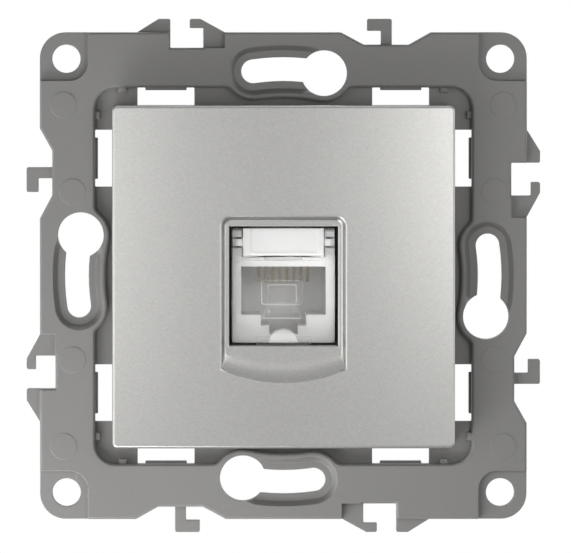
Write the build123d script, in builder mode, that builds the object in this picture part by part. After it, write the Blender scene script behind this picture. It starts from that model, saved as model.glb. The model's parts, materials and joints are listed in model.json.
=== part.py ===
from build123d import *

import os
from math import atan, cos, degrees, radians, sin, sqrt

# Ethernet wall socket, in millimetres. The wall is the plane Y = 0, the front looks towards -Y and
# the origin is the middle of the frame on the wall. A height is measured from the wall: it is
# positive towards the room and negative inside the wall box.

# How far cutting shapes reach past the material, added shapes reach into it, and edges are picked by
overshoot = 1.0
overlap = 0.1
pick_range = 0.1

# Support frame
frame_side = 70.7
frame_corner = 3.75
frame_front = 3.2
frame_edge_bevel = 0.25
floor_front = 1.2
well_side = 54.66
well_corner = 3.0
well_lip_bevel = 0.3
pad_side = 7.0
pad_corner = 2.7
pad_drop = 1.0
corner_screw_pitch = 63.0
corner_screw_radius = 2.05

# Keyholes on the circle of the wall box screws
box_screw_radius = 30.0
head_angle = 11.35
slot_end_angle = 8.4
head_radius = 3.32
slot_width = 3.45
slot_recess_margin = 1.75
slot_recess_depth = 1.2
slot_recess_angle = 30.0
slot_recess_short = 2.6
boss_wall = 0.72
boss_blend = 1.3

# Gang hooks: places along the top edge, negative to the left of its middle
hook_front = 2.0
hook_reach = 1.95
hook_round = 0.3
notch_depth = 2.25
wedge_start = -21.25
wedge_peak = -18.1
notch_start = -16.4
notch_end = -11.63
hook_tip_start = -13.6
hook_tip_wall = 1.35
hook_slope = -12.05
hook_end = -8.5
bay_start = 8.35
bay_flat_start = 11.7
bay_flat_end = 18.2
bay_end = 21.4
bay_depth = 1.8
bar_start = 14.15
bar_end = 15.75
bar_tip_start = 12.15
bar_tip_wall = 1.75

# Windows, catches and pegs of the well floor
window_offset = 17.05
window_width = 8.25
window_inner = 23.3
catch_width = 6.0
catch_depth = 0.4
peg_offset = 23.35
peg_width = 1.1
peg_depth = 0.7
peg_front = 2.5
core_depth = 1.4
core_length = 12.0
core_width = 3.2
core_offset = 19.2

# Centre plate
plate_side = 49.6
plate_corner = 0.8
plate_front = 9.5
plate_edge_round = 0.45
plate_crown_radius = 600.0
plate_wall = 1.3
plate_skin = 1.5
collar_wall = 1.3
collar_back = 4.8
bezel_depth = 1.1
bezel_slope_width = 0.55
bezel_margin_side = 1.18
bezel_margin_top = 1.45
bezel_corner = 1.4
scoop_flat = 0.75
scoop_radius = 23.0
scoop_rise_length = 3.0
opening_edge_round = 0.25
leg_offset = 22.0
leg_width = 7.0
leg_wall = 1.3
leg_hook = 0.7
leg_hook_length = 1.4
leg_hook_flat = 0.45
leg_tip_bevel = 0.35
leg_clearance = 0.15
leg_slot_margin = 0.45

# Jack: its face, port and inner chamber
jack_width = 14.9
jack_height = 16.6
jack_centre = -1.28
jack_face = 5.5
jack_rear = -12.0
shoulder_length = 1.8
shoulder_margin = 1.1
shoulder_gap = 0.1
lug_length = 1.1
lug_flat = 0.35
lug_gap = 0.05
lug_height = 1.1
lug_width = 8.0
label_front = 7.0
label_half_width = 5.85
label_height = 3.95
label_window_half = 4.75
label_window_height = 3.48
label_window_depth = 0.15
release_half_width = 2.75
release_height = 0.65
release_drop = 0.17
release_depth = 0.3
port_half_width = 6.12
port_height = 6.96
port_roof = 5.6
port_depth = 14.0
keyway_width = 6.5
keyway_depth = 1.59
latchway_width = 4.1
latchway_depth = 1.2
chamber_side_gap = 0.15
chamber_roof = 2.12
chamber_front = 3.3
nose_slot_rear = 0.6

# Hinge and dust flap
pin_radius = 0.7
pin_length = 0.9
pin_height = 6.0
pin_roof = 2.06
pin_clearance = 0.07
hub_radius = 1.9
hub_side_gap = 0.2
moving_gap = 0.3
flap_side_gap = 0.48
flap_bottom_gap = 0.38
flap_width = 14.8
flap_wall = 1.2
flap_roof = 4.62
flap_short = 0.01
flap_corner = 0.3
hub_skin = 0.55
tab_radius = 2.1
tab_stand = 0.8
tab_edge_round = 0.25
strip_half_width = 4.0
strip_height = 0.7
strip_rise = 0.17
strip_depth = 0.15
nub_height = 1.2
nub_rise = 5.27
nub_stand = 0.15

# Contacts
contact_count = 8
contact_pitch = 1.016
wire_width = 0.46
wire_thickness = 0.3
wire_run_roof = 4.27
wire_bend_start = 2.0
wire_bend_radius = 0.6
wire_angle = 22.0
wire_slope_length = 7.0
wire_groove_gap = 0.05
carrier_height = 2.5
carrier_front = 2.2
carrier_gap = 0.1
solder_tail = 0.7

# Circuit board
board_wall = 1.2
board_margin = 0.2
board_hole_gap = 0.1

# Terminals
terminal_rows = 4
terminal_pitch = 3.6
blade_wall = 0.5
blade_width = 2.6
blade_rear = -18.6
fork_width = 0.36
fork_length = 2.7
fork_mouth = 1.1
tail_width = 0.8
block_base = 1.4
tower_width = 3.2
tower_side_inset = 0.25
tower_end_inset = 0.15
tower_rear = -21.2
tower_tip_chamfer = 0.4
wire_slot_width = 1.4
wire_slot_floor = -15.5
blade_gap = 0.1
relief_depth = 1.0

# Caps over the terminals
cap_roof = 1.2
cap_wall = 0.9
cap_skirt_front = -16.0
cap_notch_rear = -20.0
cap_rib_width = 0.8
cap_grip_count = 5
cap_grip_pitch = 2.6
cap_grip_width = 1.0
cap_grip_height = 0.35

# Holder behind the frame
holder_opening = 37.0
holder_corner = 2.0
holder_gap = 0.2
holder_flange = 40.0
holder_flange_wall = 1.5
holder_channel_gap = 0.1
holder_channel_wall = 1.5
holder_channel_front = 2.9
holder_hook_width = 6.0
holder_hook_reach = 0.6
holder_hook_height = 1.0
holder_hook_wall = 1.4
rib_wall = 1.2
rib_depth = 6.5
rib_offset = 6.0

edge = frame_side / 2
well_edge = well_side / 2
jack_top = jack_centre + jack_height / 2
jack_bottom = jack_centre - jack_height / 2
pin_z = jack_top - pin_roof
label_bottom = jack_top - label_height
label_window_bottom = jack_top - label_window_height
port_top = jack_top - port_roof
port_bottom = port_top - port_height
keyway_bottom = port_bottom - keyway_depth
latchway_bottom = keyway_bottom - latchway_depth
chamber_top = jack_top - chamber_roof
carrier_top = chamber_top - carrier_gap
carrier_bottom = carrier_top - carrier_height
chamber_bottom = carrier_bottom - carrier_gap
wire_run_z = jack_top - wire_run_roof
flap_top = jack_top - flap_roof
flap_bottom = jack_bottom + flap_short
strip_z = flap_bottom + strip_rise + strip_height / 2
nub_z = flap_bottom + nub_rise + nub_height / 2
opening_half_width = flap_width / 2 + flap_side_gap
opening_top = jack_top + moving_gap
opening_bottom = flap_bottom - flap_bottom_gap
opening_middle = (opening_top + opening_bottom) / 2
flap_back = jack_face + moving_gap
flap_front = flap_back + flap_wall
board_rear = jack_rear - board_wall
base_rear = board_rear - block_base
channel_rear = jack_rear + shoulder_length + shoulder_gap
contact_places = [(i - (contact_count - 1) / 2) * contact_pitch for i in range(contact_count)]
tower_outer = jack_width / 2 - tower_side_inset
tower_inner = tower_outer - tower_width
tower_x = tower_outer - tower_width / 2
tower_half_height = jack_height / 2 - tower_end_inset
chamber_half_width = tower_x - blade_wall / 2 - chamber_side_gap
terminal_bottom = jack_centre - (terminal_rows - 1) / 2 * terminal_pitch
terminal_heights = [terminal_bottom + i * terminal_pitch for i in range(terminal_rows)]
terminal_places = [(x, z) for x in (-tower_x, tower_x) for z in terminal_heights]


def level(height):
    """Sketch plane parallel to the wall at a height in front of it, seen from the room."""
    return Plane.XZ.offset(height)


def side(x):
    """Sketch plane square to X: across it is the height from the wall, up it is Z."""
    return Plane(origin=(x, 0, 0), x_dir=(0, -1, 0), z_dir=(-1, 0, 0))


def box_screw_arc(start_angle, end_angle):
    """Arc on the circle of the box screws, between two angles to the right of the top."""
    return CenterArc((0, 0), box_screw_radius, 90 - start_angle, start_angle - end_angle)


slot_line = box_screw_arc(head_angle, -slot_end_angle)
recess_line = box_screw_arc(head_angle - degrees(slot_recess_short / box_screw_radius), -slot_end_angle)
head_place = (box_screw_radius * sin(radians(head_angle)), box_screw_radius * cos(radians(head_angle)))
recess_width = slot_width + 2 * slot_recess_margin
boss_width = recess_width + 2 * boss_wall
flange_middle = (well_edge + edge - notch_depth) / 2

os.makedirs("parts", exist_ok=True)

# Support frame: one moulding, the same on each of its four sides
with BuildPart() as support_frame:
    # Plate with the hook notches and bays of the gang edges
    with BuildSketch(level(0)):
        RectangleRounded(frame_side, frame_side, frame_corner)
        with PolarLocations(0, 4):
            with Locations(((notch_start + notch_end) / 2, edge)):
                Rectangle(notch_end - notch_start, 2 * notch_depth, mode=Mode.SUBTRACT)
            Polygon(
                (bay_start, edge + overshoot),
                (bay_start, edge),
                (bay_flat_start, edge - bay_depth),
                (bay_flat_end, edge - bay_depth),
                (bay_end, edge),
                (bay_end, edge + overshoot),
                align=None,
                mode=Mode.SUBTRACT,
            )
    extrude(amount=frame_front)
    chamfer(support_frame.faces().sort_by(Axis.Y)[0].edges(), frame_edge_bevel)

    # Well down to the floor, round the bosses that carry the keyholes
    with BuildSketch(level(floor_front)) as well:
        RectangleRounded(well_side, well_side, well_corner)
        with PolarLocations(0, 4):
            SlotArc(slot_line, boss_width, mode=Mode.SUBTRACT)
            with Locations(head_place):
                Circle(head_radius + boss_wall, mode=Mode.SUBTRACT)
        boss_corners = (
            well.vertices()
            .filter_by(lambda v: max(abs(v.X), abs(v.Y)) > well_edge - pick_range)
            .filter_by(lambda v: min(abs(v.X), abs(v.Y)) < well_edge - well_corner - overshoot)
        )
        fillet(boss_corners, boss_blend)
    extrude(amount=frame_front - floor_front, mode=Mode.SUBTRACT)
    chamfer(support_frame.faces().sort_by(Axis.Y)[0].inner_wires()[0].edges(), well_lip_bevel)

    # Lowered beds of the hooks, then the hooks
    with BuildSketch(level(hook_front)):
        with PolarLocations(0, 4):
            Polygon(
                (notch_end, edge - notch_depth),
                (hook_end, edge - notch_depth),
                (hook_end, edge + overshoot),
                (notch_end, edge + overshoot),
                align=None,
            )
    extrude(amount=frame_front - hook_front, mode=Mode.SUBTRACT)
    with BuildSketch(level(0)):
        with PolarLocations(0, 4):
            Polygon(
                (wedge_start, edge),
                (wedge_peak, edge + hook_reach),
                (notch_start, edge + hook_reach),
                (notch_start, edge - notch_depth),
                (wedge_start, edge - notch_depth),
                align=None,
            )
            Polygon(
                (notch_end, edge - notch_depth),
                (notch_end, edge + hook_reach - hook_tip_wall),
                (hook_tip_start, edge + hook_reach - hook_tip_wall),
                (hook_tip_start, edge + hook_reach),
                (hook_slope, edge + hook_reach),
                (hook_end, edge),
                (hook_end, edge - notch_depth),
                align=None,
            )
            Polygon(
                (bar_start, edge - bay_depth - overshoot),
                (bar_start, edge + hook_reach - bar_tip_wall),
                (bar_tip_start, edge + hook_reach - bar_tip_wall),
                (bar_tip_start, edge + hook_reach),
                (bar_end, edge + hook_reach),
                (bar_end, edge - bay_depth - overshoot),
                align=None,
            )
    extrude(amount=hook_front)
    hook_corners = (
        support_frame.edges()
        .filter_by(Axis.Y)
        .filter_by(lambda e: max(abs(e.center().X), abs(e.center().Z)) > edge + hook_reach - pick_range)
    )
    fillet(hook_corners, hook_round)

    # Corner pads with their screw holes
    with BuildSketch(level(frame_front - pad_drop)):
        with GridLocations(frame_side, frame_side, 2, 2):
            RectangleRounded(2 * pad_side, 2 * pad_side, pad_corner)
    extrude(amount=pad_drop, mode=Mode.SUBTRACT)
    with Locations(level(frame_front - pad_drop)):
        with GridLocations(corner_screw_pitch, corner_screw_pitch, 2, 2):
            Hole(corner_screw_radius)

    # Sloped recesses and keyholes
    with BuildSketch(level(frame_front)):
        with PolarLocations(0, 4):
            SlotArc(recess_line, recess_width)
    extrude(amount=-slot_recess_depth, taper=slot_recess_angle, mode=Mode.SUBTRACT)
    with BuildSketch(level(0)):
        with PolarLocations(0, 4):
            SlotArc(slot_line, slot_width)
            with Locations(head_place):
                Circle(head_radius)
    extrude(amount=frame_front, mode=Mode.SUBTRACT)

    # Floor: opening for the holder, slots for the plate's legs, windows with their catches
    with BuildSketch(level(0)):
        RectangleRounded(holder_opening, holder_opening, holder_corner)
        with PolarLocations(0, 4):
            with Locations((0, leg_offset)):
                Rectangle(leg_width + 2 * leg_slot_margin, leg_wall + 2 * leg_clearance)
            with Locations((-window_offset, 0), (window_offset, 0)):
                with Locations((0, (window_inner + well_edge) / 2)):
                    Rectangle(window_width, well_edge - window_inner)
                with Locations((0, well_edge - catch_depth / 2)):
                    Rectangle(catch_width, catch_depth, mode=Mode.SUBTRACT)
    extrude(amount=floor_front, mode=Mode.SUBTRACT)

    # Pegs along the well's wall
    with BuildSketch(level(floor_front)):
        with PolarLocations(0, 4):
            for x in (-peg_offset, peg_offset):
                with Locations((x, well_edge - peg_depth / 2)):
                    Rectangle(peg_width, peg_depth)
    extrude(amount=peg_front - floor_front)

    # Cored pockets in the back of the flange
    with BuildSketch(level(0)):
        with PolarLocations(0, 4):
            with Locations((-core_offset, flange_middle), (core_offset, flange_middle)):
                Rectangle(core_length, core_width)
    extrude(amount=core_depth, mode=Mode.SUBTRACT)

support_frame.part.label = "support_frame"
export_step(support_frame.part, "parts/support_frame.step")

# Tool for the bezel recess: sloped walls, and a floor that scoops up to the face below the opening
bezel_half_width = opening_half_width + bezel_margin_side
bezel_top = opening_top + bezel_margin_top
crease_radius = scoop_radius - scoop_rise_length
crease_sag = crease_radius - sqrt(crease_radius**2 - opening_half_width**2)
scoop_bottom = opening_bottom - scoop_flat - crease_sag - scoop_rise_length
scoop_centre = scoop_bottom + scoop_radius
bezel_floor = plate_front - bezel_depth
with BuildPart() as bezel_recess:
    with BuildSketch(level(plate_front)):
        with Locations((0, (bezel_top + scoop_bottom) / 2 - bezel_corner)):
            RectangleRounded(
                2 * bezel_half_width,
                bezel_top - scoop_bottom + 2 * bezel_corner,
                bezel_corner,
            )
    extrude(amount=-bezel_depth, taper=degrees(atan(bezel_slope_width / bezel_depth)))
    with BuildSketch(Plane.YZ):
        with BuildLine():
            rim = (-plate_front, scoop_bottom)
            flat_end = (-bezel_floor, scoop_bottom + scoop_rise_length)
            bottom = Line((-bezel_floor, scoop_centre), flat_end)
            TangentArc(flat_end, rim, tangent=bottom % 1)
            Polyline(rim, (-plate_front, scoop_centre), (-bezel_floor, scoop_centre))
        make_face()
    revolve(axis=Axis((0, 0, scoop_centre), (0, 1, 0)), mode=Mode.INTERSECT)

# One leg of the centre plate, in its side view: a blade with a ramped hook
with BuildPart() as plate_leg:
    leg_inner = leg_offset - leg_wall / 2
    leg_outer = leg_offset + leg_wall / 2
    leg_root = plate_front - plate_skin + overlap
    leg_end = -leg_clearance - leg_hook_length
    with BuildSketch(Plane.YZ):
        Polygon(
            (leg_inner, leg_root),
            (leg_inner, leg_end),
            (leg_outer - leg_tip_bevel, leg_end),
            (leg_outer + leg_hook, -leg_clearance - leg_hook_flat),
            (leg_outer + leg_hook, -leg_clearance),
            (leg_outer, -leg_clearance),
            (leg_outer, leg_root),
            align=None,
        )
    extrude(amount=leg_width / 2, both=True)

# Centre plate: a crowned shell with a collar round the jack and four snap legs
with BuildPart() as cover_plate:
    crown_drop = plate_crown_radius - sqrt(plate_crown_radius**2 - (plate_side / 2) ** 2)
    with BuildSketch(Plane.XY.offset(-plate_side / 2)):
        with BuildLine():
            left = (-plate_side / 2, -(plate_front - crown_drop))
            right = (plate_side / 2, -(plate_front - crown_drop))
            ThreePointArc(left, (0, -plate_front), right)
            Polyline(right, (plate_side / 2, -floor_front), (-plate_side / 2, -floor_front), left)
        make_face()
    extrude(amount=plate_side)
    with BuildSketch(level(0)):
        RectangleRounded(plate_side, plate_side, plate_corner)
    extrude(amount=plate_front, mode=Mode.INTERSECT)
    fillet(cover_plate.faces().sort_by(Axis.Y)[0].edges(), plate_edge_round)

    # Hollow from the back, then the collar
    with BuildSketch(level(floor_front)):
        Rectangle(plate_side - 2 * plate_wall, plate_side - 2 * plate_wall)
    extrude(amount=plate_front - plate_skin - floor_front, mode=Mode.SUBTRACT)
    with BuildSketch(level(collar_back)):
        with Locations((0, opening_middle)):
            Rectangle(
                2 * (opening_half_width + collar_wall),
                opening_top - opening_bottom + 2 * collar_wall,
            )
        with Locations((0, (opening_bottom + scoop_bottom) / 2)):
            Rectangle(
                2 * (opening_half_width + collar_wall),
                opening_bottom - scoop_bottom + 2 * collar_wall,
            )
    extrude(amount=plate_front - plate_skin - collar_back + overlap)
    add(bezel_recess.part, mode=Mode.SUBTRACT)
    with BuildSketch(level(collar_back)):
        with Locations((0, opening_middle)):
            Rectangle(2 * opening_half_width, opening_top - opening_bottom)
    extrude(amount=plate_front - collar_back, mode=Mode.SUBTRACT)
    opening_edges = (
        cover_plate.edges()
        .filter_by_position(Axis.Y, -bezel_floor - pick_range, -bezel_floor + pick_range)
        .filter_by(lambda e: abs(e.center().X) < opening_half_width + pick_range)
        .filter_by(lambda e: abs(e.center().Z - opening_middle) < opening_top - opening_middle + pick_range)
    )
    fillet(opening_edges, opening_edge_round)

    # Legs through the frame's floor, hooked behind it
    with Locations(level(0)):
        with PolarLocations(0, 4):
            add(plate_leg.part)

cover_plate.part.label = "cover_plate"
export_step(cover_plate.part, "parts/cover_plate.step")

# Holder: a panel that fills the frame's opening, a flange behind the floor, and the jack's channel
channel_width = jack_width + 2 * (holder_channel_gap + holder_channel_wall)
channel_height = jack_height + 2 * (holder_channel_gap + holder_channel_wall)
with BuildPart() as holder_hook:
    panel_edge = holder_opening / 2 - holder_gap
    hook_nose = holder_opening / 2 + holder_hook_reach
    with BuildSketch(Plane.YZ):
        Polygon(
            (panel_edge - holder_hook_wall, floor_front),
            (panel_edge, floor_front),
            (hook_nose, floor_front),
            (hook_nose, floor_front + holder_hook_height / 3),
            (panel_edge - holder_hook_wall / 2, floor_front + holder_hook_height),
            (panel_edge - holder_hook_wall, floor_front + holder_hook_height),
            align=None,
        )
    extrude(amount=holder_hook_width / 2, both=True)

with BuildPart() as jack_holder:
    with BuildSketch(level(-holder_flange_wall)):
        RectangleRounded(holder_flange, holder_flange, holder_corner)
    extrude(amount=holder_flange_wall)
    with BuildSketch(level(0)):
        RectangleRounded(2 * panel_edge, 2 * panel_edge, holder_corner - holder_gap)
    extrude(amount=floor_front)
    with Locations(level(0)):
        with PolarLocations(0, 4):
            add(holder_hook.part)
    with BuildSketch(level(channel_rear)):
        with Locations((0, jack_centre)):
            Rectangle(channel_width, channel_height)
    extrude(amount=holder_channel_front - channel_rear)

    # Gussets from the flange to the channel
    flange_back = -holder_flange_wall
    rib_reach = holder_flange / 2 - holder_corner
    for z in (jack_centre - rib_offset, jack_centre + rib_offset):
        with BuildSketch(Plane.XY.offset(z - rib_wall / 2)):
            Polygon(
                (-rib_reach, -flange_back),
                (-channel_width / 2, -flange_back + rib_depth),
                (channel_width / 2, -flange_back + rib_depth),
                (rib_reach, -flange_back),
                align=None,
            )
        extrude(amount=rib_wall)
    for x in (-rib_offset, rib_offset):
        with BuildSketch(side(x + rib_wall / 2)):
            Polygon(
                (flange_back, -rib_reach),
                (flange_back - rib_depth, jack_centre - channel_height / 2),
                (flange_back - rib_depth, jack_centre + channel_height / 2),
                (flange_back, rib_reach),
                align=None,
            )
        extrude(amount=rib_wall)
    with BuildSketch(level(channel_rear)):
        with Locations((0, jack_centre)):
            Rectangle(jack_width + 2 * holder_channel_gap, jack_height + 2 * holder_channel_gap)
    extrude(amount=holder_channel_front - channel_rear, mode=Mode.SUBTRACT)

jack_holder.part.label = "jack_holder"
export_step(jack_holder.part, "parts/jack_holder.step")

# Jack: housing with the stepped port, the label block and the hinge pins
with BuildPart() as jack_body:
    with BuildSketch(level(jack_rear)):
        with Locations((0, jack_centre)):
            Rectangle(jack_width, jack_height)
    extrude(amount=jack_face - jack_rear)
    with BuildSketch(level(jack_rear)):
        with Locations((0, jack_centre)):
            Rectangle(jack_width + 2 * shoulder_margin, jack_height + 2 * shoulder_margin)
    extrude(amount=shoulder_length)

    # Snap lugs that hold the channel's front edge, ramped for the push from behind
    with BuildSketch(side(lug_width / 2)):
        lug_back = holder_channel_front + lug_gap
        for wall, outward in ((jack_top, 1), (jack_bottom, -1)):
            Polygon(
                (lug_back, wall - outward * overlap),
                (lug_back, wall + outward * lug_height),
                (lug_back + lug_flat, wall + outward * lug_height),
                (lug_back + lug_length, wall),
                (lug_back + lug_length, wall - outward * overlap),
                align=None,
            )
    extrude(amount=lug_width)

    # Label block with its shallow window
    with BuildSketch(level(jack_face)):
        with Locations((0, (jack_top + label_bottom) / 2)):
            Rectangle(2 * label_half_width, jack_top - label_bottom)
    extrude(amount=label_front - jack_face)
    with BuildSketch(level(label_front)):
        with Locations((0, (jack_top + overshoot + label_window_bottom) / 2)):
            Rectangle(2 * label_window_half, jack_top + overshoot - label_window_bottom)
    extrude(amount=-label_window_depth, mode=Mode.SUBTRACT)

    # Finger notch under the label block
    with BuildSketch(level(jack_face)):
        with Locations((0, label_bottom - release_drop - release_height / 2)):
            Rectangle(2 * release_half_width, release_height)
    extrude(amount=-release_depth, mode=Mode.SUBTRACT)

    # Room for the flap's hubs, then the pins they turn on
    for start in (jack_width / 2 + overshoot, -label_half_width):
        with BuildSketch(side(start)):
            with Locations((pin_height, pin_z)):
                Circle(hub_radius + moving_gap)
        extrude(amount=jack_width / 2 + overshoot - label_half_width, mode=Mode.SUBTRACT)
    with BuildSketch(side(label_half_width + pin_length)):
        with Locations((pin_height, pin_z)):
            Circle(pin_radius)
    extrude(amount=2 * (label_half_width + pin_length))

    # Stepped port, and the chamber of the contacts above it
    with BuildSketch(level(jack_face)):
        with Locations((0, (port_top + port_bottom) / 2)):
            Rectangle(2 * port_half_width, port_top - port_bottom)
        with Locations((0, (port_bottom + keyway_bottom) / 2)):
            Rectangle(keyway_width, port_bottom - keyway_bottom)
        with Locations((0, (keyway_bottom + latchway_bottom) / 2)):
            Rectangle(latchway_width, keyway_bottom - latchway_bottom)
    extrude(amount=-port_depth, mode=Mode.SUBTRACT)
    with BuildSketch(level(jack_rear)):
        with Locations((0, (chamber_bottom + chamber_top) / 2)):
            Rectangle(2 * chamber_half_width, chamber_top - chamber_bottom)
    extrude(amount=chamber_front - jack_rear, mode=Mode.SUBTRACT)
    with BuildSketch(level(nose_slot_rear)):
        with Locations((0, (port_top + chamber_bottom) / 2)):
            Rectangle(2 * chamber_half_width, chamber_bottom - port_top + 2 * carrier_gap)
    extrude(amount=chamber_front - nose_slot_rear, mode=Mode.SUBTRACT)

    # Reliefs for the solder tails of the terminals
    with BuildSketch(level(jack_rear)):
        with Locations((-tower_x, jack_centre), (tower_x, jack_centre)):
            Rectangle(2 * tail_width, jack_height - 2 * relief_depth)
    extrude(amount=relief_depth, mode=Mode.SUBTRACT)

jack_body.part.label = "jack_body"
export_step(jack_body.part, "parts/jack_body.step")

# Dust flap: a clear plate with two hubs, a thumb tab and a shallow strip
hub_inner = label_half_width + hub_side_gap
with BuildPart() as dust_flap:
    with BuildSketch(level(flap_back)):
        with Locations((0, (flap_top + flap_bottom) / 2)):
            RectangleRounded(flap_width, flap_top - flap_bottom, flap_corner)
        with Locations((-flap_width / 2, nub_z)):
            Rectangle(2 * nub_stand, nub_height)
    extrude(amount=flap_wall)
    for start in (flap_width / 2, -hub_inner):
        with BuildSketch(side(start)):
            with Locations((pin_height, pin_z)):
                Circle(hub_radius)
            with Locations(((flap_front + flap_back) / 2, (flap_top + pin_z) / 2 - flap_corner)):
                Rectangle(flap_wall, pin_z - flap_top + 2 * flap_corner)
            with Locations((flap_front - hub_radius, pin_z)):
                Rectangle(2 * hub_radius, 4 * hub_radius, mode=Mode.INTERSECT)
        extrude(amount=flap_width / 2 - hub_inner)
    for start in (flap_width / 2 - hub_skin, -hub_inner):
        with BuildSketch(side(start)):
            with Locations((pin_height, pin_z)):
                Circle(pin_radius + pin_clearance)
        extrude(amount=flap_width / 2 - hub_skin - hub_inner, mode=Mode.SUBTRACT)
    with BuildSketch(level(flap_front)):
        with Locations((0, strip_z)):
            Rectangle(2 * strip_half_width, strip_height)
    extrude(amount=-strip_depth, mode=Mode.SUBTRACT)
    with BuildSketch(level(flap_back + flap_wall / 2)):
        with Locations((0, flap_bottom)):
            Circle(tab_radius)
            with Locations((0, tab_radius)):
                Rectangle(2 * (tab_radius + overlap), 2 * tab_radius, mode=Mode.INTERSECT)
    extrude(amount=flap_wall / 2 + tab_stand)
    fillet(dust_flap.faces().sort_by(Axis.Y)[0].edges(), tab_edge_round)

dust_flap.part.label = "dust_flap"
export_step(dust_flap.part, "parts/dust_flap.step")

# Contact carrier: insert in the jack's chamber with a groove for each wire
with BuildPart() as contact_carrier:
    with BuildSketch(level(jack_rear)):
        with Locations((0, (carrier_bottom + carrier_top) / 2)):
            Rectangle(2 * (chamber_half_width - carrier_gap), carrier_height)
        with Locations([(x, carrier_bottom) for x in contact_places]):
            groove_top = wire_run_z + wire_thickness / 2 + wire_groove_gap
            Rectangle(
                wire_width + 2 * wire_groove_gap,
                2 * (groove_top - carrier_bottom),
                mode=Mode.SUBTRACT,
            )
    extrude(amount=carrier_front - jack_rear)

contact_carrier.part.label = "contact_carrier"
export_step(contact_carrier.part, "parts/contact_carrier.step")

# Contact wires: along the groove, round the nose and back down into the port
for number, x in enumerate(contact_places, start=1):
    with BuildPart() as contact_wire:
        with BuildLine(side(x)) as route:
            run = Line((board_rear - solder_tail, wire_run_z), (wire_bend_start, wire_run_z))
            bend = JernArc(run @ 1, run % 1, wire_bend_radius, wire_angle - 180)
            Line(bend @ 1, (bend @ 1) + wire_slope_length * (bend % 1))
        with BuildSketch(Plane(origin=route.line @ 0, x_dir=(1, 0, 0), z_dir=route.line % 0)):
            Rectangle(wire_width, wire_thickness)
        sweep()
    contact_wire.part.label = f"contact_wire_{number}"
    export_step(contact_wire.part, f"parts/contact_wire_{number}.step")

# Circuit board against the jack's rear, with a hole for each wire and each terminal
with BuildPart() as circuit_board:
    with BuildSketch(level(board_rear)):
        with Locations((0, jack_centre)):
            Rectangle(jack_width - 2 * board_margin, jack_height - 2 * board_margin)
        with Locations([(x, wire_run_z) for x in contact_places]):
            Rectangle(
                wire_width + 2 * board_hole_gap,
                wire_thickness + 2 * board_hole_gap,
                mode=Mode.SUBTRACT,
            )
        with Locations(terminal_places):
            Rectangle(blade_wall + 2 * blade_gap, tail_width + 2 * blade_gap, mode=Mode.SUBTRACT)
    extrude(amount=board_wall)

circuit_board.part.label = "circuit_board"
export_step(circuit_board.part, "parts/circuit_board.step")

# Terminal housing: a base on the board and two towers of slotted posts
with BuildPart() as idc_block:
    with BuildSketch(level(base_rear)):
        with Locations((0, jack_centre)):
            Rectangle(jack_width, jack_height)
    extrude(amount=block_base)
    with BuildSketch(level(tower_rear)):
        with Locations((-tower_x, jack_centre), (tower_x, jack_centre)):
            Rectangle(tower_width, 2 * tower_half_height)
    extrude(amount=base_rear - tower_rear)
    with BuildSketch(level(tower_rear)):
        with Locations(terminal_places):
            Rectangle(tower_width + 2 * overshoot, wire_slot_width)
    extrude(amount=wire_slot_floor - tower_rear, mode=Mode.SUBTRACT)
    chamfer(idc_block.faces().sort_by(Axis.Y)[-10:].edges().filter_by(Axis.X), tower_tip_chamfer)
    with BuildSketch(level(board_rear)):
        with Locations(terminal_places):
            Rectangle(blade_wall + 2 * blade_gap, blade_width + 2 * blade_gap)
    extrude(amount=blade_rear - board_rear - blade_gap, mode=Mode.SUBTRACT)
    with BuildSketch(level(board_rear)):
        with Locations((0, wire_run_z)):
            Rectangle((contact_count + 1) * contact_pitch, 2 * relief_depth)
    extrude(amount=-relief_depth, mode=Mode.SUBTRACT)

idc_block.part.label = "idc_block"
export_step(idc_block.part, "parts/idc_block.step")

# Terminal blades: a fork behind the board and a solder tail through it
for number, (x, z) in enumerate(terminal_places, start=1):
    with BuildPart() as idc_contact:
        with BuildSketch(side(x + blade_wall / 2)):
            with Locations(((blade_rear + board_rear) / 2, z)):
                Rectangle(board_rear - blade_rear, blade_width)
            with Locations((board_rear, z)):
                Rectangle(2 * (board_wall + solder_tail), tail_width)
            with Locations((blade_rear, z)):
                Rectangle(2 * fork_length, fork_width, mode=Mode.SUBTRACT)
            Polygon(
                (blade_rear - overshoot, z - fork_mouth / 2 - overshoot),
                (blade_rear + fork_mouth / 2, z),
                (blade_rear - overshoot, z + fork_mouth / 2 + overshoot),
                align=None,
                mode=Mode.SUBTRACT,
            )
        extrude(amount=blade_wall)
    idc_contact.part.label = f"idc_contact_{number}"
    export_step(idc_contact.part, f"parts/idc_contact_{number}.step")

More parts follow.
